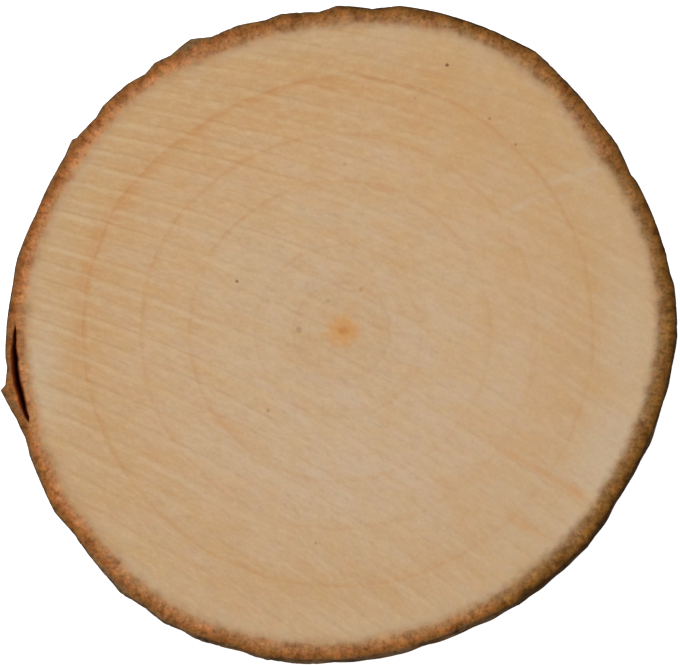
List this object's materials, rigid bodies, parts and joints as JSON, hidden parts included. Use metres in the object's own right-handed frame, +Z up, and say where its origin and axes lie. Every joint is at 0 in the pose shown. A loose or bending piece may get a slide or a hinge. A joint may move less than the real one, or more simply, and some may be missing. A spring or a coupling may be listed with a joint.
{
  "type": "wood slice",
  "caption": "Thin round slice sawn across a young stem: pale wood with faint growth rings, thin brown bark, and a crack with a torn flap in the bark.",
  "frame": {"origin": "under the middle of the slice, on the surface that it lies on", "axes": "+Z up along the stem; seen from above, the crack in the bark is on the -X side and +Y is the knuckled edge"},
  "size_m": [0.0656, 0.0638, 0.006],
  "materials": {
    "sawn_wood": "bare pale wood, finely sawn across the grain, dry and matt",
    "bark": "thin rough bark, grey-brown outside and rust brown where it is cut"
  },
  "bodies": {
    "root": {"wood_slice": "sawn_wood"}
  },
  "joints": []
}
